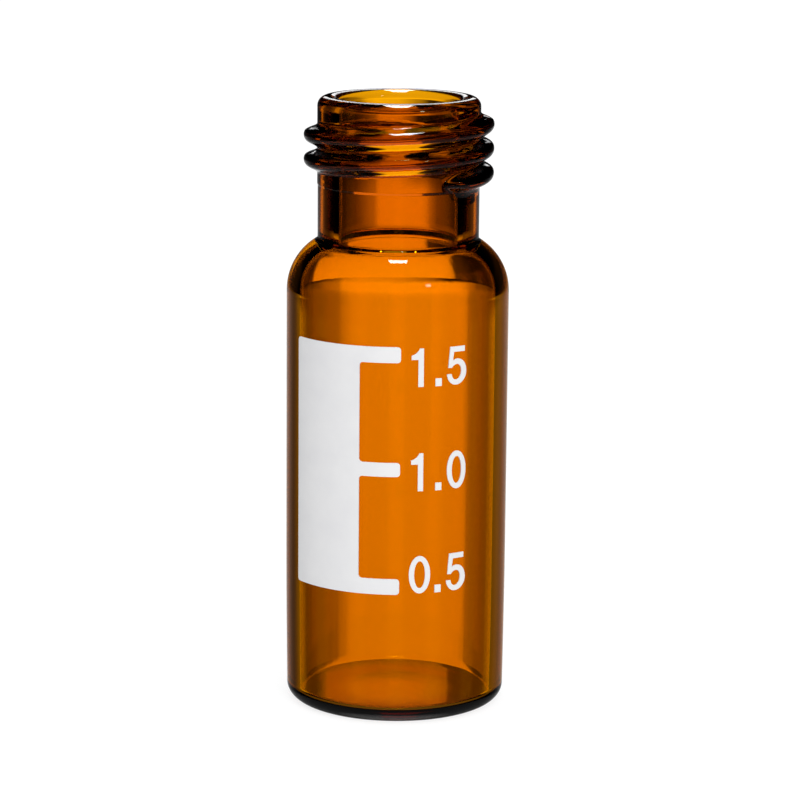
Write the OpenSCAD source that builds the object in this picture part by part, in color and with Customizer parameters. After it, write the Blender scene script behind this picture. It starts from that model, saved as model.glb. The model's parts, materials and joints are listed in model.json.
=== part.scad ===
// Screw-neck sample vial of amber glass tube, 2 ml, with a fired enamel write-on panel.
// The axis is +Z, the foot stands on z = 0, and the panel's graduation bars end at the front, -Y.
// The glass is one closed outline, revolved, with the thread laid on its neck.

/* [Body] */
// Outside diameter of the body tube
body_d = 11.6; // [10.6:0.1:14]
// Wall of the body tube
body_wall = 0.7; // [0.5:0.05:1.1]
// Height from the foot to the lip
vial_h = 32; // [30:0.5:45]

/* [Base] */
// Thickness of the floor beside the hollow under it
floor_t = 0.9; // [0.7:0.05:1.3]
// Outside radius where the wall turns into the base
heel_r = 0.85; // [0.5:0.05:1.3]
// Inside radius where the wall turns into the floor
floor_r = 0.9; // [0.4:0.05:1.3]
// Diameter of the shallow hollow under the base
punt_d = 6.4; // [4:0.1:8]
// Depth of that hollow
punt_h = 0.2; // [0.1:0.05:0.4]

/* [Shoulder] */
// Outside radius of the shoulder's round
shoulder_r = 2.2; // [1.6:0.1:2.6]
// How far the shoulder leans out from the axis where it meets the neck, in degrees
shoulder_lean = 50; // [40:1:60]
// Radius that blends the shoulder into the neck
root_r = 0.35; // [0.2:0.05:0.5]
// Radius of the inside edge where the bore opens into the body
throat_r = 0.5; // [0.2:0.05:0.7]

/* [Neck] */
// Outside diameter of the neck
neck_d = 8.4; // [7.8:0.1:8.8]
// Diameter of the bore through the neck
bore_d = 6.2; // [5.6:0.1:6.4]
// Height of the neck, from the shoulder to the lip
neck_h = 7.4; // [7:0.1:9]
// Outside radius of the lip
lip_r_out = 0.45; // [0.2:0.05:0.5]
// Inside radius of the lip
lip_r_in = 0.3; // [0.15:0.05:0.35]
// Height of the line, above the shoulder, where the moulded finish ends
finish_h = 2.75; // [1.5:0.05:3]
// How far the neck steps in under that line
finish_step = 0.05; // [0.02:0.01:0.1]

/* [Thread] */
// Diameter over the thread's crest
thread_d = 9.8; // [9.4:0.1:10.4]
// Rise in one turn
thread_pitch = 1.27; // [1.15:0.01:1.5]
// Length of the thread, in turns
thread_turns = 2.27; // [1.5:0.01:2.5]
// Height of the rib where it meets the neck
thread_w = 1.02; // [0.8:0.02:1.1]
// Height of the thread's upper end below the lip
thread_drop = 1.3; // [1.2:0.05:2]
// Where the thread's upper end lies, in degrees from the front towards +X
thread_start = 118; // [0:1:359]
// How far round each end of the thread runs out, in degrees
thread_runout = 32; // [15:1:60]

/* [Enamel] */
// Thickness of the fired enamel
enamel_t = 0.05; // [0.03:0.01:0.1]
// Height of the panel's lower edge
panel_z = 7; // [5:0.1:9]
// Height of the panel with its bars
panel_h = 12.93; // [9:0.01:14]
// Width of the write-on field, round the body
field_w = 4.15; // [2:0.05:8]
// Length of each graduation bar, round the body
bar_l = 2.12; // [1:0.02:4]
// Height of the top and bottom bars
bar_h = 0.82; // [0.4:0.01:1.2]
// Height of the middle bar
mid_bar_h = 0.73; // [0.4:0.01:1.2]
// Height of the middle bar's lower edge above the panel's lower edge
mid_bar_z = 6.2; // [3:0.05:8]
// How far the bars' ends lie past the front, round the body
bar_end = 0.19; // [0:0.01:1]

/* [Hidden] */
$fn = 96;

AMBER = [0.62, 0.29, 0.05];
ENAMEL = [0.93, 0.93, 0.92];

body_r = body_d / 2;
inner_r = body_r - body_wall;
neck_r = neck_d / 2;
bore_r = bore_d / 2;

// The shoulder's round is tangent to the body, then runs straight to the neck.
neck_z = vial_h - neck_h;
shoulder_cx = body_r - shoulder_r;
inner_round = shoulder_r - body_wall;

// Rise from the shoulder's centre to where its straight slope comes in to the radius end_r.
function lean_rise(round_r, end_r) =
    round_r * sin(shoulder_lean)
    + (shoulder_cx + round_r * cos(shoulder_lean) - end_r) / tan(shoulder_lean);
shoulder_z = neck_z - lean_rise(shoulder_r, neck_r);
throat_z = shoulder_z + lean_rise(inner_round, bore_r);

// ---- outline of the glass, in the half plane [radius, height] ----

// Points on an arc about c, from one angle to another, about 9 degrees apart.
function arc(c, r, from, to) =
    let (steps = ceil(abs(to - from) / 9))
    [
        for (i = [0:steps])
            let (a = from + (to - from) * i / steps)
            c + r * [cos(a), sin(a)]
    ];

// The hollow under the base, from the axis out to the ring that the vial stands on.
function punt_points() =
    let (
        ball_r = (pow(punt_d / 2, 2) + pow(punt_h, 2)) / (2 * punt_h),
        steps = 6
    )
    [
        for (i = [0:steps])
            let (x = punt_d / 2 * i / steps)
            [x, sqrt(pow(ball_r, 2) - pow(x, 2)) - ball_r + punt_h]
    ];

// Round between an upright wall at radius x and the shoulder's slope, which meet at height z.
function lean_round(x, z, r) = arc([x + r, z + r * tan(shoulder_lean / 2)], r, 180, 180 + shoulder_lean);

// A list of points in the opposite order.
function reversed(points) = [for (i = [len(points) - 1:-1:0]) points[i]];

function outside_points() = concat(
    punt_points(),
    arc([body_r - heel_r, heel_r], heel_r, -90, 0),
    arc([shoulder_cx, shoulder_z], shoulder_r, 0, shoulder_lean),
    reversed(lean_round(neck_r, neck_z, root_r)),
    [[neck_r - finish_step, neck_z + finish_h], [neck_r, neck_z + finish_h]],
    arc([neck_r - lip_r_out, vial_h - lip_r_out], lip_r_out, 0, 90)
);

function inside_points() = concat(
    arc([bore_r + lip_r_in, vial_h - lip_r_in], lip_r_in, 90, 180),
    lean_round(bore_r, throat_z, throat_r),
    arc([shoulder_cx, shoulder_z], inner_round, shoulder_lean, 0),
    arc([inner_r - floor_r, floor_t + floor_r], floor_r, 0, -90),
    [[0, floor_t]]
);

// ---- thread ----

thread_h = (thread_d - neck_d) / 2;
thread_sink = 0.3;
section_steps = 8;
ring_step = 10;
ring_count = ceil(thread_turns * 360 / ring_step);
section_power = 0.85;

// A number raised to a power, with its sign kept.
function signed_pow(x, p) = sign(x) * pow(abs(x), p);

// How much of the full rib stands at an angle a along the thread.
function runout(a) =
    let (end = min(a, thread_turns * 360 - a) / thread_runout)
    end >= 1 ? 1 : 0.12 + 0.88 * sin(90 * end);

// One section of the rib: a half superellipse whose flat side is sunk in the neck.
function rib_ring(a) =
    let (
        turn = thread_start - 90 - a,
        mid_z = vial_h - thread_drop - thread_pitch * a / 360,
        scale = runout(a)
    )
    [
        for (i = [0:section_steps])
            let (
                u = -90 + 180 * i / section_steps,
                r = neck_r - thread_sink + (thread_h * scale + thread_sink) * pow(cos(u), section_power),
                z = mid_z + thread_w / 2 * (0.4 + 0.6 * scale) * signed_pow(sin(u), section_power)
            )
            [r * cos(turn), r * sin(turn), z]
    ];

module thread() {
    per_ring = section_steps + 1;
    step = thread_turns * 360 / ring_count;
    points = [for (k = [0:ring_count]) each rib_ring(k * step)];
    sides = [
        for (k = [0:ring_count - 1], i = [0:section_steps])
            let (
                a = k * per_ring + i,
                b = k * per_ring + (i + 1) % per_ring
            )
            each [[a, b + per_ring, b], [a, a + per_ring, b + per_ring]]
    ];
    first_cap = [for (i = [0:section_steps]) i];
    last_cap = [for (i = [section_steps:-1:0]) ring_count * per_ring + i];
    polyhedron(points, concat(sides, [first_cap, last_cap]), convexity = 10);
}

// ---- parts ----

module glass_vial() {
    color(AMBER)
        union() {
            rotate_extrude() polygon(concat(outside_points(), inside_points()));
            thread();
        }
}

// Degrees round the body that an arc of this length takes.
function arc_deg(length) = length / body_r * 180 / PI;

// Sector of a thin tube round the body: from and to are lengths round it from the front.
module body_sector(from, to, z, h, r_in, r_out) {
    rotate([0, 0, arc_deg(from) - 90])
        translate([0, 0, z])
            rotate_extrude(angle = arc_deg(to - from))
                translate([r_in, 0]) square([r_out - r_in, h]);
}

module enamel_panel() {
    panel_start = bar_end - bar_l - field_w;
    window_start = bar_end - bar_l;
    window_r = [body_r - enamel_t, body_r + 2 * enamel_t];
    color(ENAMEL)
        difference() {
            body_sector(panel_start, bar_end, panel_z, panel_h, body_r, body_r + enamel_t);
            body_sector(window_start, bar_end + bar_l, panel_z + bar_h, mid_bar_z - bar_h,
                window_r[0], window_r[1]);
            body_sector(window_start, bar_end + bar_l, panel_z + mid_bar_z + mid_bar_h,
                panel_h - bar_h - mid_bar_z - mid_bar_h, window_r[0], window_r[1]);
        }
}

glass_vial();
enamel_panel();
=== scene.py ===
# %% [markdown]
# # An amber glass sample vial
#
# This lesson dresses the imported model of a 2 ml screw-neck sample vial: 32 mm of drawn amber
# tube with a moulded thread, and a white scale fired on to its wall. Every size below is in
# millimetres on the real vial and is turned to metres where it is used.

# %% Load the frame
import json
import math

import bmesh
import bpy
from mathutils import Matrix, Vector


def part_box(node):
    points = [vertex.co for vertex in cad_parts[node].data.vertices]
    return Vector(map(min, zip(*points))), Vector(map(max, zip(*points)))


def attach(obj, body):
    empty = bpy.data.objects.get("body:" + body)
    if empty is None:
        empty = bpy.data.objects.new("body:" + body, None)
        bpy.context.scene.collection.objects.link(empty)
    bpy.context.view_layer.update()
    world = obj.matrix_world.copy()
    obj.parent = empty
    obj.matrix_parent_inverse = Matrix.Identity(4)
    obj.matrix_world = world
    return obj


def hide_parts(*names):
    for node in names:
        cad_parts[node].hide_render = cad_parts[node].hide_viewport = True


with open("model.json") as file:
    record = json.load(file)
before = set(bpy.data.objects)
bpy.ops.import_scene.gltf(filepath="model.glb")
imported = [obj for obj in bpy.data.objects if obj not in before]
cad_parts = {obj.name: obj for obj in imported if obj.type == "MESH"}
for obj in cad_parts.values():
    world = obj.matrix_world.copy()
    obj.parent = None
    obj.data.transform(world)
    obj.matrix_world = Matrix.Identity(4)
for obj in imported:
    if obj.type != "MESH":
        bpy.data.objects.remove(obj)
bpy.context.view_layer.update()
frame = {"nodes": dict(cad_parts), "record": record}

MM = 0.001

# %% Measure the solids that the new pieces stand for
glass_low, glass_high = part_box("glass_vial")
print_low, print_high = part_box("enamel_panel")
BODY_R = (glass_high[0] - glass_low[0]) / 2 / MM
VIAL_H = (glass_high[2] - glass_low[2]) / MM
PRINT_BOTTOM = print_low[2] / MM
PRINT_TOP = print_high[2] / MM
BORE_R = next(m for m in frame["record"]["mounts"] if m["name"] == "mouth")["dims"]["r_mm"]
print(f"body radius {BODY_R:.2f}, height {VIAL_H:.2f}, bore radius {BORE_R:.2f}")
print(f"the print runs from {PRINT_BOTTOM:.2f} to {PRINT_TOP:.2f} above the foot")

# %% [markdown]
# ## Small helpers
#
# Every tool in Blender works on what is selected, so each new piece starts with nothing
# selected. These few helpers do that, and give edit-mode steps a bmesh to select in.

# %% Helpers for modelling
def deselect_all():
    """Leave edit mode and drop the selection and the active object."""
    if bpy.context.object and bpy.context.object.mode != "OBJECT":
        bpy.ops.object.mode_set(mode="OBJECT")
    bpy.ops.object.select_all(action="DESELECT")
    bpy.context.view_layer.objects.active = None


def make_active(piece):
    """Select one object and nothing else."""
    deselect_all()
    piece.select_set(True)
    bpy.context.view_layer.objects.active = piece


def smooth_all(piece, angle=180):
    """Shade smooth, with edges sharper than the angle kept crisp."""
    make_active(piece)
    bpy.ops.object.shade_smooth_by_angle(angle=math.radians(angle))


def count_triangles(piece):
    """How many triangles a piece's faces make."""
    return sum(len(face.vertices) - 2 for face in piece.data.polygons)


deselect_all()
print("nothing is selected, and", len(frame["nodes"]), "solids are in the frame")

# %% [markdown]
# ## The glass: its half outline
#
# The real vial starts as drawn glass tube. A flame closes the foot, wheels press the neck in,
# and a small mould rolls the thread and the lip. Nearly all of it is a body of revolution, so
# it is drawn as one half outline and spun about the axis. The outline keeps the solid's
# body, wall, neck, bore and height. Its rounds, its floor and the hollow under it differ a
# little, and its steps are finer, because glass shows every facet twice: once on its face
# and once through it.

# %% Sizes of the glass
# wall and base: the punt is the shallow hollow that the vial does not stand on
WALL = 0.7
FLOOR_T = 0.6
FLOOR_CORNER_R = 0.36
HEEL_R = 0.8
PUNT_R, PUNT_H = 2.9, 0.05

# neck: the mould's finish stands out a little above a line round it
NECK_R = 4.2
NECK_H = 7.4
FINISH_H = 2.88
FINISH_STEP = 0.03
LIP_OUT_R = 0.48
LIP_IN_R = 0.48

# shoulder: how far its slopes lean from the axis where they meet the neck, in degrees
SHOULDER_R = 3.1
OUTER_LEAN = 60
INNER_LEAN = 64
ROOT_R = 0.25
THROAT_R = 0.15

INNER_R = BODY_R - WALL
NECK_Z = VIAL_H - NECK_H
FINISH_Z = NECK_Z + FINISH_H
FINISH_R = NECK_R + FINISH_STEP
SHOULDER_CX = BODY_R - SHOULDER_R
INNER_ROUND = SHOULDER_R - WALL


def lean_rise(round_r, end_r, lean_deg):
    """Rise from the shoulder's centre to where its slope reaches the radius end_r."""
    lean = math.radians(lean_deg)
    run = SHOULDER_CX + round_r * math.cos(lean) - end_r
    return round_r * math.sin(lean) + run / math.tan(lean)


SHOULDER_Z = NECK_Z - lean_rise(SHOULDER_R, NECK_R, OUTER_LEAN)
THROAT_Z = SHOULDER_Z + lean_rise(INNER_ROUND, BORE_R, INNER_LEAN)
print(f"shoulder starts at {SHOULDER_Z:.2f}, neck at {NECK_Z:.2f}, throat at {THROAT_Z:.2f}")

# %% Points of the half outline
def arc(cx, cz, r, start, end, step=4):
    """Points (radius, height) on an arc, about step degrees apart."""
    count = max(2, math.ceil(abs(end - start) / step))
    angles = [math.radians(start + (end - start) * i / count) for i in range(count + 1)]
    return [(cx + r * math.cos(a), cz + r * math.sin(a)) for a in angles]


def line(start, end, step):
    """Points between two ends, both left out, no more than step apart."""
    length = math.dist(start, end)
    count = max(1, math.ceil(length / step))
    return [
        tuple(a + (b - a) * i / count for a, b in zip(start, end))
        for i in range(1, count)
    ]


def lean_round(x, z, r, lean_deg):
    """Round between an upright wall at radius x and the shoulder's slope."""
    return arc(x + r, z + r * math.tan(math.radians(lean_deg) / 2), r, 180, 180 + lean_deg, 6)


PUNT_STEPS = 8
# the thread is raised from rings of points this far apart
THREAD_STEP = 0.05

foot = [
    (PUNT_R * i / PUNT_STEPS, PUNT_H * (1 - (i / PUNT_STEPS) ** 2))
    for i in range(1, PUNT_STEPS + 1)
]
heel = arc(BODY_R - HEEL_R, HEEL_R, HEEL_R, -90, 0, 6)
shoulder = arc(SHOULDER_CX, SHOULDER_Z, SHOULDER_R, 0, OUTER_LEAN, 2.5)
neck_root = lean_round(NECK_R, NECK_Z, ROOT_R, OUTER_LEAN)[::-1]
# the neck runs straight up to just under the step
finish_line = [(NECK_R, FINISH_Z - 0.1), (NECK_R, FINISH_Z - 0.05), (FINISH_R, FINISH_Z)]
lip_out = arc(FINISH_R - LIP_OUT_R, VIAL_H - LIP_OUT_R, LIP_OUT_R, 0, 90, 9)
lip_in = arc(BORE_R + LIP_IN_R, VIAL_H - LIP_IN_R, LIP_IN_R, 90, 180, 9)
throat = lean_round(BORE_R, THROAT_Z, THROAT_R, INNER_LEAN)
shoulder_in = arc(SHOULDER_CX, SHOULDER_Z, INNER_ROUND, INNER_LEAN, 0, 3)
floor_corner = arc(INNER_R - FLOOR_CORNER_R, FLOOR_T + FLOOR_CORNER_R, FLOOR_CORNER_R, 0, -90, 6)

outline = [(0, PUNT_H)] + foot
outline += line(foot[-1], heel[0], 0.5) + heel
outline += line(heel[-1], shoulder[0], 2.0) + shoulder
outline += line(shoulder[-1], neck_root[0], 0.3) + neck_root
outline += line(neck_root[-1], finish_line[0], 0.4) + finish_line
outline += line(finish_line[-1], lip_out[0], THREAD_STEP) + lip_out
outline += line(lip_out[-1], lip_in[0], 0.1) + lip_in
outline += line(lip_in[-1], throat[0], 0.5) + throat
outline += line(throat[-1], shoulder_in[0], 0.3) + shoulder_in
outline += line(shoulder_in[-1], floor_corner[0], 2.0) + floor_corner
outline += line(floor_corner[-1], (0, FLOOR_T), 0.6) + [(0, FLOOR_T)]

# closing the foot in the flame draws the lowest few millimetres in a little
FOOT_DRAWN_IN, FOOT_REACH = 0.065, 8.0
for i, (r, z) in enumerate(outline):
    if z < FOOT_REACH and r > PUNT_R:
        outline[i] = (r - FOOT_DRAWN_IN * (1 - z / FOOT_REACH) ** 1.5, z)
print("the half outline has", len(outline), "points")

# %% [markdown]
# ## The glass: spun
#
# A plane is merged to one point, the point is extruded along the outline, and the chain of
# edges is spun once about the axis. The first and last points lie on the axis, so merging
# doubles closes both poles and the seam.

# %% Spin the outline
SPIN_STEPS = 256

bpy.ops.mesh.primitive_plane_add(size=MM, location=(0, 0, 0))
vial_glass = bpy.context.object
vial_glass.name = "vial_glass"
bpy.ops.object.mode_set(mode="EDIT")
bpy.ops.mesh.select_all(action="SELECT")
bpy.ops.mesh.merge(type="CENTER")
bpy.ops.transform.translate(value=(outline[0][0] * MM, 0, outline[0][1] * MM))
for (r0, z0), (r1, z1) in zip(outline, outline[1:]):
    move = ((r1 - r0) * MM, 0, (z1 - z0) * MM)
    bpy.ops.mesh.extrude_region_move(TRANSFORM_OT_translate={"value": move})
bpy.ops.mesh.select_all(action="SELECT")
bpy.ops.mesh.spin(
    steps=SPIN_STEPS, angle=math.tau, center=(0, 0, 0), axis=(0, 0, 1), dupli=False
)
bpy.ops.mesh.select_all(action="SELECT")
bpy.ops.mesh.remove_doubles(threshold=0.004 * MM)
bpy.ops.mesh.normals_make_consistent(inside=False)
bpy.ops.object.mode_set(mode="OBJECT")
print("spun glass:", count_triangles(vial_glass), "triangles")

# %% [markdown]
# ## The glass: thread
#
# The thread is not a separate rib: a mould squeezes it out of the soft neck, so its roots
# run smoothly into the wall. The neck was spun in fine rings for this. Each of its points
# now moves outward by the height that the thread has there. The crest is a half
# superellipse, as on the solid, and a weighted mean up and down the neck rounds its roots.

# %% Thread sizes and height
THREAD_H = 0.7
THREAD_W = 1.02
THREAD_SINK = 0.3
PITCH = 1.27
TURNS = 2.235
TOP_MID_Z = VIAL_H - 1.3
# where the upper end lies, from the front towards +X, and how far each end runs out
START_DEG = 118
UPPER_RUNOUT_DEG = 32
LOWER_RUNOUT_DEG = 24
# shares of the rib's height and of its width that are left at its very ends
END_SHARE, END_WIDTH = 0.12, 0.4
# the upper flank is steeper than the lower: (share of the width, power of the section)
UPPER_FLANK = (0.92, 0.6)
LOWER_FLANK = (1.08, 0.95)
ROOT_ROUND = 0.07
# heights between which points are raised, and over what height the rib fades out there
THREAD_LOW, THREAD_HIGH = 27.25, 31.4
FADE_LOW, FADE_HIGH = 0.18, 0.3
# points no further than this inside the neck's radius are on its outside
OUTSIDE_WITHIN = 0.02


def rib_height(along, off):
    """Height of the rib at a distance off above its middle, at along degrees from its upper end."""
    upper_end = along / UPPER_RUNOUT_DEG
    lower_end = (TURNS * 360 - along) / LOWER_RUNOUT_DEG
    end = min(upper_end, lower_end)
    if end < 0:
        return -THREAD_SINK
    scale = 1.0 if end >= 1 else END_SHARE + (1 - END_SHARE) * math.sin(math.pi / 2 * end)
    wide, power = UPPER_FLANK if off > 0 else LOWER_FLANK
    reach = abs(off) / (THREAD_W / 2 * (END_WIDTH + (1 - END_WIDTH) * scale) * wide)
    if reach >= 1:
        return -THREAD_SINK
    cos_u = math.sqrt(1 - reach ** (2 / power))
    return (THREAD_H * scale + THREAD_SINK) * cos_u**power - THREAD_SINK


def sharp_height(degrees, z):
    """Height of the rib over the neck at an angle from the front towards +X."""
    best = 0.0
    first = (START_DEG - degrees) % 360
    for turn in range(math.ceil(TURNS) + 1):
        along = first + 360 * turn
        best = max(best, rib_height(along, z - (TOP_MID_Z - PITCH * along / 360)))
    return best


def thread_height(degrees, z):
    """The rib's height, softened up and down the neck so that its roots are round."""
    steps = (-2, -1, 0, 1, 2)
    weights = (1, 3, 4, 3, 1)
    heights = [sharp_height(degrees, z + k * ROOT_ROUND) for k in steps]
    return sum(w * h for w, h in zip(weights, heights)) / sum(weights)


print(f"the rib stands {thread_height(0, TOP_MID_Z - PITCH * START_DEG / 360):.2f} mm proud")

# %% Raise the thread
raised = 0
for vertex in vial_glass.data.vertices:
    x, y, z = (c / MM for c in vertex.co)
    radius = math.hypot(x, y)
    if radius > NECK_R - OUTSIDE_WITHIN and THREAD_LOW < z < THREAD_HIGH:
        fade = min(1, (z - THREAD_LOW) / FADE_LOW, (THREAD_HIGH - z) / FADE_HIGH)
        height = thread_height(math.degrees(math.atan2(x, -y)), z) * fade
        factor = 1 + height / radius
        vertex.co.x *= factor
        vertex.co.y *= factor
        raised += 1
vial_glass.data.update()
smooth_all(vial_glass)
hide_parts("glass_vial")
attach(vial_glass, "root")
print(raised, "points of the neck were moved to raise the thread")

# %% [markdown]
# ## The fired print: field and bars
#
# The write-on field and its three bars are one layer of white glass enamel, printed through a
# screen and fired on. It is drawn flat, as the screen was: a plane for the field, cut at the
# heights of the bars, whose ends are then drawn out of its right edge. The corners are
# rounded a little, because paste creeps before it is dry.

# %% Sizes of the print
FIELD_W = 4.15
BAR_L = 2.12
BAR_END = 0.19
BAR_H = 0.82
MID_BAR_H = 0.73
MID_BAR_Z = 6.2
PRINT_CORNER = 0.17
PRINT_T = 0.045
PRINT_LIFT = 0.004
STRIP_W = 0.14

FIELD_LEFT = BAR_END - BAR_L - FIELD_W
FIELD_RIGHT = BAR_END - BAR_L
BARS = [
    (PRINT_BOTTOM, PRINT_BOTTOM + BAR_H),
    (PRINT_BOTTOM + MID_BAR_Z, PRINT_BOTTOM + MID_BAR_Z + MID_BAR_H),
    (PRINT_TOP - BAR_H, PRINT_TOP),
]
print(f"the field runs from {FIELD_LEFT:.2f} to {FIELD_RIGHT:.2f} round the body")
for low, high in BARS:
    print(f"a bar from {low:.2f} to {high:.2f} above the foot")

# %% Helpers that cut a flat layer, thicken it and wrap it round the body
def cut_across(position, normal):
    """Cut everything in edit mode with a plane, given in mm."""
    bpy.ops.mesh.select_all(action="SELECT")
    bpy.ops.mesh.bisect(plane_co=Vector(position) * MM, plane_no=normal)


def pick(piece, test, part="faces"):
    """Select, in edit mode, the faces or edges whose middle (in mm) passes the test."""
    bpy.ops.mesh.select_mode(type="FACE" if part == "faces" else "EDGE")
    bpy.ops.mesh.select_all(action="DESELECT")
    mesh = bmesh.from_edit_mesh(piece.data)
    for item in getattr(mesh, part):
        middle = sum((v.co for v in item.verts), Vector()) / len(item.verts) / MM
        item.select_set(bool(test(middle)))
    bmesh.update_edit_mesh(piece.data)


def wrap_print(piece):
    """Cut a flat layer into upright strips, give it its thickness and roll it on the body."""
    make_active(piece)
    bpy.ops.object.mode_set(mode="EDIT")
    us = [v.co.x / MM for v in piece.data.vertices]
    low, high = min(us), max(us)
    count = math.ceil((high - low) / STRIP_W)
    for i in range(1, count):
        cut_across((low + (high - low) * i / count, 0, 0), (1, 0, 0))
    bpy.ops.mesh.select_all(action="SELECT")
    bpy.ops.mesh.extrude_region_move(TRANSFORM_OT_translate={"value": (0, -PRINT_T * MM, 0)})
    bpy.ops.mesh.select_all(action="SELECT")
    bpy.ops.mesh.normals_make_consistent(inside=False)
    bpy.ops.object.mode_set(mode="OBJECT")
    for vertex in piece.data.vertices:
        u, depth, z = vertex.co
        radius = (BODY_R + PRINT_LIFT) * MM - depth
        turn = u / (BODY_R * MM)
        vertex.co = (radius * math.sin(turn), -radius * math.cos(turn), z)
    piece.data.update()
    smooth_all(piece, 40)
    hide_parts("enamel_panel")
    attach(piece, "root")


# %% Draw the field and its bars
deselect_all()
field_mid = (FIELD_LEFT + FIELD_RIGHT) / 2 * MM
bpy.ops.mesh.primitive_plane_add(
    size=1, location=(field_mid, 0, (PRINT_BOTTOM + PRINT_TOP) / 2 * MM),
    rotation=(math.radians(90), 0, 0),
)
enamel_field = bpy.context.object
enamel_field.name = "enamel_field"
enamel_field.scale = (FIELD_W * MM, (PRINT_TOP - PRINT_BOTTOM) * MM, 1)
bpy.ops.object.transform_apply(location=True, rotation=True, scale=True)
bpy.ops.object.mode_set(mode="EDIT")
for height in sorted({h for bar in BARS for h in bar} - {PRINT_BOTTOM, PRINT_TOP}):
    cut_across((0, 0, height), (0, 0, 1))
pick(
    enamel_field,
    lambda m: abs(m.x - FIELD_RIGHT) < 0.01 and any(low < m.z < high for low, high in BARS),
    "edges",
)
bpy.ops.mesh.extrude_region_move(TRANSFORM_OT_translate={"value": (BAR_L * MM, 0, 0)})
bpy.ops.mesh.select_mode(type="FACE")
bpy.ops.mesh.select_all(action="SELECT")
bpy.ops.mesh.dissolve_limited(angle_limit=math.radians(1))
bpy.ops.mesh.select_mode(type="VERT")
bpy.ops.mesh.select_all(action="SELECT")
bpy.ops.mesh.bevel(offset=PRINT_CORNER * MM, segments=4, affect="VERTICES")
wrap_print(enamel_field)
print("field and bars:", count_triangles(enamel_field), "triangles")

# %% [markdown]
# ## The fired print: numerals
#
# Beside each bar stands the volume in millilitres, in a plain narrow face: 1.5, 1.0 and 0.5.
# Only four shapes are needed, a one, a five, a nought and a point. Each is a closed line of
# straight runs and quarter rounds, filled as a flat curve, made a mesh, and rolled on the
# body as the field was.

# %% Lines for the four shapes
DIGIT_H = 1.98
STROKE = 0.275
POINT_W, POINT_H = 0.335, 0.4


def quarter(start, corner, end, count=8):
    """A quarter round from start to end that leaves and arrives along the corner's sides."""
    pull = 0.56
    c1 = [a + (b - a) * pull for a, b in zip(start, corner)]
    c2 = [a + (b - a) * pull for a, b in zip(end, corner)]
    points = []
    for i in range(1, count + 1):
        t = i / count
        w = ((1 - t) ** 3, 3 * t * (1 - t) ** 2, 3 * t * t * (1 - t), t**3)
        points.append(tuple(sum(k * p[j] for k, p in zip(w, (start, c1, c2, end))) for j in (0, 1)))
    return points


def rounded(stops):
    """A closed line through stops: a pair is a straight run, a triple a quarter round."""
    points = []
    for stop in stops:
        if len(stop) == 2:
            points.append(stop)
        else:
            points += quarter(points[-1], stop[1], stop[2])
    return points


def oval(x0, z0, x1, z1):
    """A closed narrow oval that fills a box."""
    xm, zm = (x0 + x1) / 2, (z0 + z1) / 2
    loop = [(x1, zm)]
    for corner, end in (
        ((x1, z1), (xm, z1)), ((x0, z1), (x0, zm)), ((x0, z0), (xm, z0)), ((x1, z0), (x1, zm)),
    ):
        loop += quarter(loop[-1], corner, end)
    return loop[:-1]


def shape_of(sign):
    """Closed lines (mm) of one sign, from its lower left corner, and its width."""
    h, s = DIGIT_H, STROKE
    if sign == ".":
        return [[(0, 0), (POINT_W, 0), (POINT_W, POINT_H), (0, POINT_H)]], POINT_W
    if sign == "0":
        w = 1.12
        return [oval(0, 0, w, h), oval(s, s, w - s, h - s)], w
    if sign == "1":
        w, flag = 0.625, 0.36
        foot = w - s
        return [rounded([
            (foot, 0), (w, 0), (w, h), (foot + 0.07, h),
            (None, (foot - 0.03, h - 0.3), (0, h - flag)),
            (0, h - flag - 0.22), (foot, h - flag - 0.22),
        ])], w
    w, mid = 1.14, 0.69
    return [rounded([
        (0.17, h), (w - 0.11, h), (w - 0.11, h - s), (0.385, h - s), (0.325, 1.245),
        (None, (0.43, 1.345), (0.61, 1.345)), (None, (w, 1.345), (w, mid)),
        (None, (w, 0), (0.5, 0)), (None, (0.02, 0), (0, 0.57)), (0.262, 0.565),
        (None, (0.28, 0.265), (0.5, 0.265)), (None, (w - 0.31, 0.265), (w - 0.31, mid)),
        (None, (w - 0.31, 1.075), (0.57, 1.075)), (None, (0.37, 1.075), (0.275, 0.885)),
        (0.07, 0.9),
    ])], w


for sign in "015.":
    lines, width = shape_of(sign)
    print(f"{sign}: {len(lines)} line(s), {width:.2f} mm wide")

# %% Set the numerals beside their bars
SIGN_U = {"1.5": (0.73, 1.98, 2.61), "1.0": (0.75, 2.02, 2.66), "0.5": (0.68, 2.04, 2.68)}
BASE_Z = {"1.5": PRINT_TOP - 2.06, "1.0": PRINT_BOTTOM + 5.44, "0.5": PRINT_BOTTOM + 0.05}


def make_numerals(word):
    """One printed volume as a wrapped mesh."""
    flat = bpy.data.curves.new("flat_" + word.replace(".", "_"), "CURVE")
    flat.dimensions = "2D"
    flat.fill_mode = "BOTH"
    for sign, u in zip(word, SIGN_U[word]):
        for points in shape_of(sign)[0]:
            spline = flat.splines.new("POLY")
            spline.use_cyclic_u = True
            spline.points.add(len(points) - 1)
            for point, (x, z) in zip(spline.points, points):
                point.co = ((u + x) * MM, (BASE_Z[word] + z) * MM, 0, 1)
    piece = bpy.data.objects.new("enamel_numerals_" + word.replace(".", "_"), flat)
    bpy.context.scene.collection.objects.link(piece)
    make_active(piece)
    bpy.ops.object.convert(target="MESH")
    piece = bpy.context.object
    piece.rotation_euler = (math.radians(90), 0, 0)
    bpy.ops.object.transform_apply(location=True, rotation=True, scale=True)
    bpy.ops.object.mode_set(mode="EDIT")
    bpy.ops.mesh.select_all(action="SELECT")
    bpy.ops.mesh.remove_doubles(threshold=0.002 * MM)
    bpy.ops.mesh.dissolve_limited(angle_limit=math.radians(0.5))
    bpy.ops.object.mode_set(mode="OBJECT")
    wrap_print(piece)
    return piece


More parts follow.
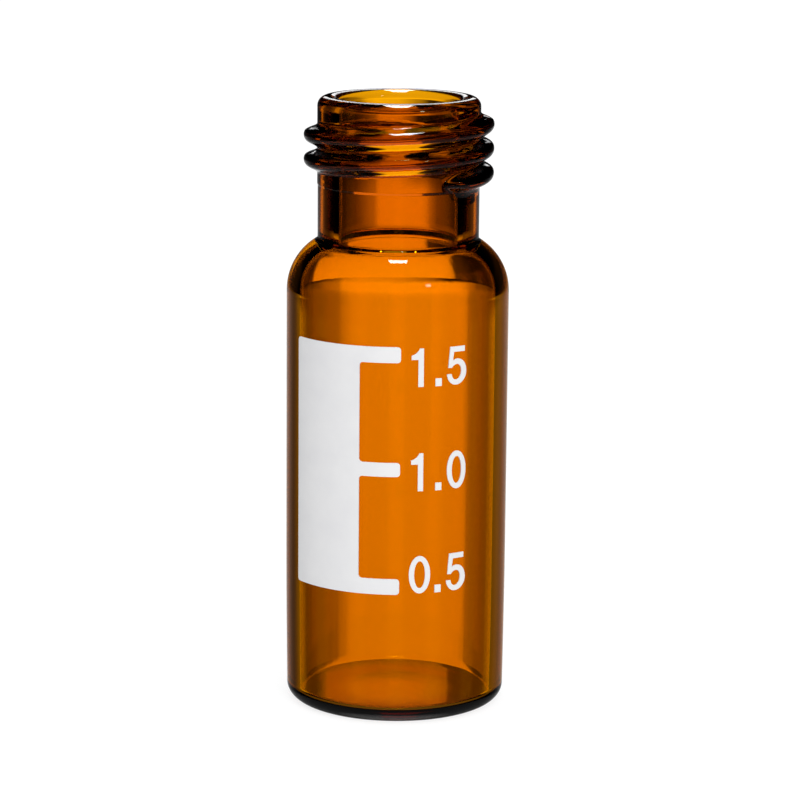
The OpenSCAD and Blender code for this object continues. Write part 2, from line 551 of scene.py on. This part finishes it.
numerals = [make_numerals(word) for word in ("1.5", "1.0", "0.5")]
for piece in numerals:
    print(piece.name, count_triangles(piece), "triangles")

# %% [markdown]
# ## Materials
#
# Two real materials meet here. The body is amber soda-borosilicate glass, drawn and fire
# polished. The print is white lead-free enamel, a glass paste full of pigment, screened on
# and fired. Colours are written as the eye names them, in sRGB hex, and one function turns
# them to the linear values that Blender works in.

# %% Helpers for materials
def colour(code):
    """Linear RGBA from an sRGB hex code."""
    parts = [int(code[i : i + 2], 16) / 255 for i in (0, 2, 4)]
    return tuple(c / 12.92 if c <= 0.04045 else ((c + 0.055) / 1.055) ** 2.4 for c in parts) + (1,)


def add_node(tree, kind, links=None, **settings):
    """Add a node. Settings name its properties or inputs; links give inputs a source or a value."""
    node = tree.nodes.new(kind)
    for name, value in settings.items():
        if hasattr(node, name):
            setattr(node, name, value)
        else:
            node.inputs[name.replace("_", " ")].default_value = value
    for name, source in (links or {}).items():
        if isinstance(source, bpy.types.NodeSocket):
            tree.links.new(source, node.inputs[name])
        elif isinstance(source, bpy.types.Node):
            tree.links.new(source.outputs[0], node.inputs[name])
        else:
            node.inputs[name].default_value = source
    return node


def set_stops(ramp, stops, low, high):
    """Give a colour ramp grey stops over a value that runs from low to high; returns their top."""
    top = max(level for _, level in stops)
    elements = ramp.color_ramp.elements
    while len(elements) > 1:
        elements.remove(elements[-1])
    for i, (spot, level) in enumerate(stops):
        at = (spot - low) / (high - low)
        element = elements[0] if i == 0 else elements.new(at)
        element.position = at
        element.color = (level / top,) * 3 + (1,)
    return top


def start_material(name):
    """A material with an empty node tree."""
    material = bpy.data.materials.new(name)
    material.use_nodes = True
    material.node_tree.nodes.clear()
    return material, material.node_tree


def finish_piece(piece, material):
    """Give a piece its one material."""
    piece.data.materials.clear()
    piece.data.materials.append(material)


print("linear white:", colour("FFFFFF"))

# %% [markdown]
# ### Amber tube glass, drawn and fire polished
#
# Iron and sulphur colour this glass all through, so the colour is a volume absorption and not
# a surface tint: thin walls look orange, and where a ray runs along the wall it turns brown
# and then black. The surface is as smooth as a liquid. Drawing the tube leaves faint upright
# cords in it, a millimetre or so wide and far less than a hair deep.

# %% Make the amber glass
CORD_MM = 1.1
CORD_LONG_MM = 14
CORD_DEEP_MM = 0.004

amber_glass, tree = start_material("amber_tube_glass_fire_polished")
place = add_node(tree, "ShaderNodeTexCoord")
stretch = add_node(
    tree, "ShaderNodeMapping", {"Vector": place.outputs["Object"]},
    Scale=(1 / (CORD_MM * MM), 1 / (CORD_MM * MM), 1 / (CORD_LONG_MM * MM)),
)
cords = add_node(
    tree, "ShaderNodeTexNoise", {"Vector": stretch.outputs["Vector"]},
    Scale=1.0, Detail=2.0, Roughness=0.45,
)
ripple = add_node(
    tree, "ShaderNodeBump", {"Height": cords.outputs["Fac"]},
    Strength=1.0, Distance=CORD_DEEP_MM * MM,
)
glass = add_node(
    tree, "ShaderNodeBsdfPrincipled", {"Normal": ripple.outputs["Normal"]},
    Base_Color=colour("FFCB27"), Roughness=0.0, IOR=1.5, Transmission_Weight=1.0,
)
iron = add_node(tree, "ShaderNodeVolumeAbsorption", Color=colour("F1E100"), Density=2500.0)
add_node(
    tree, "ShaderNodeOutputMaterial",
    {"Surface": glass.outputs["BSDF"], "Volume": iron.outputs["Volume"]},
)
finish_piece(vial_glass, amber_glass)
print("amber glass:", len(tree.nodes), "nodes")

# %% [markdown]
# ### White glass enamel, screen printed and fired
#
# The paste is pushed through a fine screen and melted on, so it is dense white with a soft
# satin face. The screen leaves a grain of a few hundredths of a millimetre, and the firing
# a slow unevenness of tone over a millimetre or two. The grain is drawn a little coarser
# than it really is, because it would not show otherwise.

# %% Make the white enamel
SCREEN_MM = 0.07
SCREEN_DEEP_MM = 0.004
TONE_MM = 1.6

white_enamel, tree = start_material("white_glass_enamel_screen_printed")
place = add_node(tree, "ShaderNodeTexCoord")
tone = add_node(
    tree, "ShaderNodeTexNoise", {"Vector": place.outputs["Object"]},
    Scale=1 / (TONE_MM * MM), Detail=3.0, Roughness=0.55,
)
shades = add_node(tree, "ShaderNodeValToRGB", {"Fac": tone.outputs["Fac"]})
shades.color_ramp.elements[0].position = 0.3
shades.color_ramp.elements[0].color = colour("EAEAEC")
shades.color_ramp.elements[1].position = 0.7
shades.color_ramp.elements[1].color = colour("EFEFF0")
grain = add_node(
    tree, "ShaderNodeTexNoise", {"Vector": place.outputs["Object"]},
    Scale=1 / (SCREEN_MM * MM), Detail=2.0, Roughness=0.6,
)
tooth = add_node(
    tree, "ShaderNodeBump", {"Height": grain.outputs["Fac"]},
    Strength=0.5, Distance=SCREEN_DEEP_MM * MM,
)
satin = add_node(
    tree, "ShaderNodeMapRange", {"Value": grain.outputs["Fac"]}, To_Min=0.42, To_Max=0.6
)
enamel = add_node(
    tree, "ShaderNodeBsdfPrincipled",
    {
        "Base Color": shades.outputs["Color"],
        "Roughness": satin.outputs["Result"],
        "Normal": tooth.outputs["Normal"],
    },
    IOR=1.5,
)
add_node(tree, "ShaderNodeOutputMaterial", {"Surface": enamel.outputs["BSDF"]})
for piece in [enamel_field] + numerals:
    finish_piece(piece, white_enamel)
print("white enamel:", len(tree.nodes), "nodes on", 1 + len(numerals), "pieces")

# %% [markdown]
# ## The stage: floor, panels and lamps
#
# Clear glass has no look of its own: it shows what stands round it. In a studio a bright
# upright panel stands behind it and dark flags at its sides, so that the edges of the glass
# draw themselves in black. Here the world does this, for rays that have met the glass. The
# flags are cut for the front, and more panels stand every 45 degrees round the rest, so that
# light comes through the vial from the other sides too. The camera sees plain white.

# %% Levels of the studio round the vial
# degrees to either side of the front panel's middle that the levels below cover, and half
# the width of the blur where they end
FRONT_REACH, REACH_BLUR = 47.0, 0.5
# (degrees from the front panel's middle towards +X, level) behind the body
LOW_STOPS = [
    (-47, 0.3), (-42, 0.22), (-37, 0.13), (-31, 0.08), (-27, 0.1), (-18, 0.14), (-12, 0.22),
    (-7, 0.32), (-5.2, 0.41), (-3.8, 0.87), (-2, 0.93), (0.5, 0.97), (5.5, 0.96), (6.8, 0.88),
    (7.7, 0.46), (9, 0.37), (12, 0.31), (23, 0.26), (30, 0.28), (36, 0.28), (42, 0.24), (47, 0.22),
]
# the same further down, where the panel meets the table between darker flags
DARK_STOPS = [
    (-45, 0.36), (-42, 0.3), (-36, 0.22), (-30, 0.12), (-20, 0.06), (-12, 0.08), (-7, 0.2),
    (-5.2, 0.41), (-3.8, 0.86), (-2, 0.93), (0.5, 0.97), (5.5, 0.96), (6.8, 0.88), (7.7, 0.3),
    (9, 0.12), (12, 0.08), (20, 0.06), (30, 0.2), (36, 0.42), (42, 0.42), (45, 0.36),
]
# the same behind the neck, between black flags
HIGH_STOPS = [
    (-45, 0), (-36, 0), (-30, 0.01), (-18.4, 0.065), (-12.9, 0.125), (-9.4, 0.24), (-7, 0.4),
    (-5.2, 0.5), (-4.5, 0.82), (-3.7, 0.94), (-2.5, 0.97), (0, 1), (4.1, 0.98), (5.6, 0.9),
    (7.5, 0.52), (10.1, 0.22), (13.9, 0.165), (20.3, 0.09), (30, 0.03), (38, 0), (45, 0),
]
# the same behind the thread, where the panel narrows, and above it, where it is wide once more
TOP_STOPS = [
    (-45, 0), (-19, 0.01), (-13.2, 0.035), (-9.7, 0.1), (-7.3, 0.2), (-5.4, 0.36), (-4, 0.84),
    (-2.7, 1), (-0.6, 0.94), (0.4, 0.82), (1.4, 0.6), (2.4, 0.38), (3.6, 0.06), (5, 0.01), (45, 0),
]
MOUTH_STOPS = [
    (-45, 0), (-16, 0.03), (-14, 0.1), (-12.5, 0.95), (-3, 1), (3.4, 1), (4.4, 0.9),
    (5.2, 0.08), (9, 0.02), (45, 0),
]
# (height angle where they start, half the height of that edge's blur, stops)
PANELS = [
    (-36, 0.5, DARK_STOPS), (-18.5, 0.5, LOW_STOPS), (-9.15, 0.35, HIGH_STOPS),
    (-7.75, 0.2, TOP_STOPS), (-6.45, 0.1, MOUTH_STOPS),
]
# (degrees from the front panel's middle, level) of the repeated panels all round the rest
ROUND_STOPS = [
    (45, 0.3), (48, 0.85), (58, 0.92), (62, 0.4), (70, 0.25), (79, 0.3), (83, 0.9), (90, 1),
    (97, 0.9), (101, 0.35), (112, 0.22), (124, 0.3), (128, 0.9), (135, 1), (142, 0.9),
    (146, 0.35), (158, 0.22), (169, 0.3), (173, 0.9), (180, 1),
]
# going up between these height angles, flags shut out the panels nearest the front
FLAG_FOOT, FLAG_TOP = -9.9, -9.1
# and leave a share of the others: degrees round where that starts and where it is full
FLAG_START, FLAG_END, FLAG_SHARE = 62, 66, 0.35

# (sine of the height angle, level) for light that comes through the glass
THROUGH_STOPS = [
    (-1, 0.6), (-0.9, 1), (-0.82, 1.3), (-0.3, 1.18), (-0.26, 1.2), (-0.166, 1.34),
    (-0.16, 1.75), (-0.137, 1.75), (-0.131, 1.4), (-0.114, 1.4), (-0.111, 1.65), (0.1, 1.75),
    (0.64, 1.8), (0.72, 0.7), (1, 0.8),
]
# the height of the panels; only a strip straight behind the vial goes on above and below
# that, full as far to each side as the first of these degrees and gone at the second
WINDOW_STOPS = [(-1, 0), (-0.46, 0), (-0.4, 1), (0.1, 1), (0.16, 0), (1, 0)]
STRIP_IN, STRIP_OUT = 7, 10
# the ground straight below, seen through the foot: sines where it starts and is full, level
GROUND_START, GROUND_FULL, GROUND_LEVEL = -0.9, -0.97, 0.6

# for light that the surface reflects: the panel behind, and how it fades to the sides
MIRROR_STOPS = [
    (-1, 0), (-0.6, 0.1), (-0.3, 0.9), (-0.17, 1), (-0.14, 0.6), (-0.12, 0.1), (0.06, 0.05),
    (0.09, 0), (1, 0),
]
FADE_STOPS = [
    (0, 1), (6, 0.9), (12, 0.5), (20, 0.3), (28, 0.2), (36, 0.11), (42, 0.06), (53, 0.02),
    (60, 0), (180, 0),
]
# the part of that panel that stands higher than the vial
CROWN_STOPS = [(-1, 0), (0.13, 0), (0.145, 2.2), (0.6, 2.2), (0.7, 0), (1, 0)]
# the pale table, which the lowest surfaces reflect
TABLE_STOPS = [(-1, 0.7), (-0.94, 0.6), (-0.85, 0.16), (-0.4, 0.11), (-0.33, 0), (1, 0)]
# the even light that falls on matt surfaces
SOFT_LEVEL = 1.05
# the table in the foot's own shade: (radius in mm, level), lighter in the middle, under the hollow
SHADE_STOPS = [(0, 0.62), (2.2, 0.56), (2.7, 0.45), (3.2, 0.2), (5.3, 0.2)]
SHADE_R = SHADE_STOPS[-1][0]
print(len(PANELS) + 1, "heights at the front, and the rest all round")

# %% Make the world
def sine(degrees):
    """Height of a direction that rises by so many degrees."""
    return math.sin(math.radians(degrees))


world = bpy.data.worlds.new("studio")
bpy.context.scene.world = world
world.use_nodes = True
tree = world.node_tree
tree.nodes.clear()
seen = add_node(tree, "ShaderNodeTexCoord")
way = add_node(tree, "ShaderNodeSeparateXYZ", {"Vector": seen.outputs["Generated"]})
turn = add_node(
    tree, "ShaderNodeMath", {0: way.outputs["X"], 1: way.outputs["Y"]}, operation="ARCTAN2"
)
aside = add_node(tree, "ShaderNodeMath", {0: turn}, operation="ABSOLUTE")
reach = math.radians(FRONT_REACH)
across = add_node(tree, "ShaderNodeMapRange", {"Value": turn}, From_Min=-reach, From_Max=reach)
upward = add_node(tree, "ShaderNodeMapRange", {"Value": way.outputs["Z"]}, From_Min=-1.0)
panels = add_node(tree, "ShaderNodeValToRGB", {"Fac": across})
set_stops(panels, LOW_STOPS, -FRONT_REACH, FRONT_REACH)
for edge, soft, stops in PANELS:
    above_edge = add_node(
        tree, "ShaderNodeMapRange", {"Value": way.outputs["Z"]},
        From_Min=sine(edge - soft), From_Max=sine(edge + soft),
    )
    upper = add_node(tree, "ShaderNodeValToRGB", {"Fac": across})
    set_stops(upper, stops, -FRONT_REACH, FRONT_REACH)
    panels = add_node(
        tree, "ShaderNodeMix", {"Factor": above_edge, "A": panels, "B": upper}, data_type="FLOAT"
    )
outward = add_node(tree, "ShaderNodeMapRange", {"Value": aside}, From_Max=math.pi)
round_it = add_node(tree, "ShaderNodeValToRGB", {"Fac": outward})
set_stops(round_it, ROUND_STOPS, 0, 180)
low_down = add_node(
    tree, "ShaderNodeMapRange", {"Value": way.outputs["Z"]},
    From_Min=sine(FLAG_TOP), From_Max=sine(FLAG_FOOT),
)
past_flags = add_node(
    tree, "ShaderNodeMapRange", {"Value": aside},
    From_Min=math.radians(FLAG_START), From_Max=math.radians(FLAG_END), To_Max=FLAG_SHARE,
)
unflagged = add_node(tree, "ShaderNodeMath", {0: low_down, 1: past_flags}, operation="MAXIMUM")
round_it = add_node(tree, "ShaderNodeMath", {0: round_it, 1: unflagged}, operation="MULTIPLY")
beyond = add_node(
    tree, "ShaderNodeMapRange", {"Value": aside},
    From_Min=math.radians(FRONT_REACH - REACH_BLUR),
    From_Max=math.radians(FRONT_REACH + REACH_BLUR),
)
panels = add_node(
    tree, "ShaderNodeMix", {"Factor": beyond, "A": panels, "B": round_it}, data_type="FLOAT"
)
rise = add_node(tree, "ShaderNodeValToRGB", {"Fac": upward})
rise_top = set_stops(rise, THROUGH_STOPS, -1, 1)
window = add_node(tree, "ShaderNodeValToRGB", {"Fac": upward})
set_stops(window, WINDOW_STOPS, -1, 1)
straight = add_node(
    tree, "ShaderNodeMapRange", {"Value": aside},
    From_Min=math.radians(STRIP_OUT), From_Max=math.radians(STRIP_IN),
)
open_to = add_node(tree, "ShaderNodeMath", {0: straight, 1: window}, operation="MAXIMUM")
risen = add_node(tree, "ShaderNodeMath", {0: panels, 1: rise}, operation="MULTIPLY")
risen = add_node(tree, "ShaderNodeMath", {0: risen, 1: rise_top}, operation="MULTIPLY")
risen = add_node(tree, "ShaderNodeMath", {0: risen, 1: open_to}, operation="MULTIPLY")
ground = add_node(
    tree, "ShaderNodeMapRange", {"Value": way.outputs["Z"]},
    From_Min=GROUND_START, From_Max=GROUND_FULL, To_Max=GROUND_LEVEL,
)
through = add_node(tree, "ShaderNodeMath", {0: risen, 1: ground}, operation="MAXIMUM")
print("light through the glass:", len(tree.nodes), "nodes")

# %% Add what the surface mirrors, and what the camera and matt surfaces see
mirror_rise = add_node(tree, "ShaderNodeValToRGB", {"Fac": upward})
set_stops(mirror_rise, MIRROR_STOPS, -1, 1)
fade = add_node(tree, "ShaderNodeValToRGB", {"Fac": outward})
set_stops(fade, FADE_STOPS, 0, 180)
table = add_node(tree, "ShaderNodeValToRGB", {"Fac": upward})
table_top = set_stops(table, TABLE_STOPS, -1, 1)
table = add_node(tree, "ShaderNodeMath", {0: table, 1: table_top}, operation="MULTIPLY")
crown = add_node(tree, "ShaderNodeValToRGB", {"Fac": upward})
crown_top = set_stops(crown, CROWN_STOPS, -1, 1)
crown = add_node(tree, "ShaderNodeMath", {0: crown, 1: straight}, operation="MULTIPLY")
mirror = add_node(
    tree, "ShaderNodeMath", {0: mirror_rise, 1: fade, 2: table}, operation="MULTIPLY_ADD"
)
mirror = add_node(
    tree, "ShaderNodeMath", {0: crown, 1: crown_top, 2: mirror}, operation="MULTIPLY_ADD"
)
rays = add_node(tree, "ShaderNodeLightPath")
refracted = rays.outputs["Is Transmission Ray"]
reflected = add_node(
    tree, "ShaderNodeMath", {0: rays.outputs["Is Glossy Ray"], 1: refracted},
    operation="SUBTRACT", use_clamp=True,
)
mirrored = add_node(tree, "ShaderNodeMath", {0: reflected, 1: mirror}, operation="MULTIPLY")
level = add_node(
    tree, "ShaderNodeMath", {0: refracted, 1: through, 2: rays.outputs["Is Camera Ray"]},
    operation="MULTIPLY_ADD",
)
level = add_node(tree, "ShaderNodeMath", {0: mirrored, 1: level}, operation="ADD")
level = add_node(
    tree, "ShaderNodeMath", {0: rays.outputs["Is Diffuse Ray"], 1: SOFT_LEVEL, 2: level},
    operation="MULTIPLY_ADD",
)
background = add_node(tree, "ShaderNodeBackground", {"Color": level}, Strength=1.0)
add_node(tree, "ShaderNodeOutputWorld", {"Surface": background})
print("world:", len(tree.nodes), "nodes")

# %% Lay the floor
# the share of light that the paper gives back, and what the camera sees it add to that, so
# that the paper is white and the vial's own shadow on it is faint
FLOOR_SHARE, FLOOR_GLOW = 0.24, 0.80

deselect_all()
bpy.ops.mesh.primitive_plane_add(size=4, location=(0, 0, 0))
floor = bpy.context.object
floor.name = "floor"
floor.visible_transmission = False
floor.visible_glossy = False
white_floor, tree = start_material("matt_white_paper")
rays = add_node(tree, "ShaderNodeLightPath")
paper = add_node(tree, "ShaderNodeBsdfDiffuse", Color=(FLOOR_SHARE,) * 3 + (1,))
glow_level = add_node(
    tree, "ShaderNodeMath", {0: rays.outputs["Is Camera Ray"], 1: FLOOR_GLOW}, operation="MULTIPLY"
)
glow = add_node(tree, "ShaderNodeEmission", {"Strength": glow_level})
both = add_node(tree, "ShaderNodeAddShader", {0: paper, 1: glow})
add_node(tree, "ShaderNodeOutputMaterial", {"Surface": both})
finish_piece(floor, white_floor)

bpy.ops.mesh.primitive_circle_add(
    vertices=64, radius=SHADE_R * MM, fill_type="NGON", location=(0, 0, -0.01 * MM)
)
shade = bpy.context.object
shade.name = "shaded_table"
for sight in ("camera", "diffuse", "glossy", "shadow"):
    setattr(shade, "visible_" + sight, False)
shaded_paper, tree = start_material("white_paper_in_the_shade")
spot = add_node(tree, "ShaderNodeTexCoord")
far = add_node(tree, "ShaderNodeVectorMath", {0: spot.outputs["Object"]}, operation="LENGTH")
far = add_node(tree, "ShaderNodeMapRange", {"Value": far.outputs["Value"]}, From_Max=SHADE_R * MM)
shading = add_node(tree, "ShaderNodeValToRGB", {"Fac": far})
shade_top = set_stops(shading, SHADE_STOPS, 0, SHADE_R)
dim = add_node(tree, "ShaderNodeEmission", {"Color": shading}, Strength=shade_top)
add_node(tree, "ShaderNodeOutputMaterial", {"Surface": dim})
finish_piece(shade, shaded_paper)
print("floor laid, with its shaded part under the foot")

# %% Hang the lamps
def add_lamp(name, azimuth_deg, elevation_deg, distance, size, level, seen_by):
    """A soft lamp that looks at the vial; azimuth is from the front to +X, level its own light."""
    target = Vector((0, 0, VIAL_H / 2 * MM))
    a, e = math.radians(azimuth_deg), math.radians(elevation_deg)
    way = Vector((math.cos(e) * math.sin(a), -math.cos(e) * math.cos(a), math.sin(e)))
    data = bpy.data.lights.new(name, "AREA")
    data.shape = "RECTANGLE"
    data.size, data.size_y = size
    data.energy = level * math.pi * size[0] * size[1]
    lamp = bpy.data.objects.new(name, data)
    lamp.location = target + way * distance
    lamp.rotation_euler = (-way).to_track_quat("-Z", "Y").to_euler()
    lamp.visible_diffuse = "diffuse" in seen_by
    lamp.visible_glossy = "glossy" in seen_by
    lamp.visible_transmission = "transmission" in seen_by
    bpy.context.scene.collection.objects.link(lamp)
    return lamp


lamps = [
    add_lamp("soft_key", 14, 30, 0.6, (0.34, 0.34), 4.7, "diffuse"),
    add_lamp("strip_above", 180, 78, 0.5, (0.11, 0.40), 19, "glossy"),
    add_lamp("glint", 35, 32, 0.6, (0.05, 0.05), 8, "glossy"),
]
print(len(lamps), "lamps")

# %% Set the camera
CAMERA_AT = (0.0, -167.39, 50.48)
# how far it looks down and to the right, and leans to the left, in degrees
CAMERA_TURN = (11.636, 0.056, 0.4885)
camera_data = bpy.data.cameras.new("camera")
camera_data.sensor_width = 36.0
camera_data.lens = 146.4
camera_data.clip_start = 0.01
camera = bpy.data.objects.new("camera", camera_data)
camera.location = Vector(CAMERA_AT) * MM
pitch, yaw, roll = (math.radians(a) for a in CAMERA_TURN)
look = Vector((math.sin(yaw) * math.cos(pitch), math.cos(yaw) * math.cos(pitch), -math.sin(pitch)))
side = look.cross(Vector((0, 0, 1))).normalized()
up = side.cross(look)
right = side * math.cos(roll) + up * math.sin(roll)
up = right.cross(look)
camera.rotation_euler = Matrix((right, up, -look)).transposed().to_euler()
bpy.context.scene.collection.objects.link(camera)
bpy.context.scene.camera = camera
print("camera at", CAMERA_AT, "mm")

# %% Set the view
bpy.context.scene.view_settings.view_transform = "Standard"
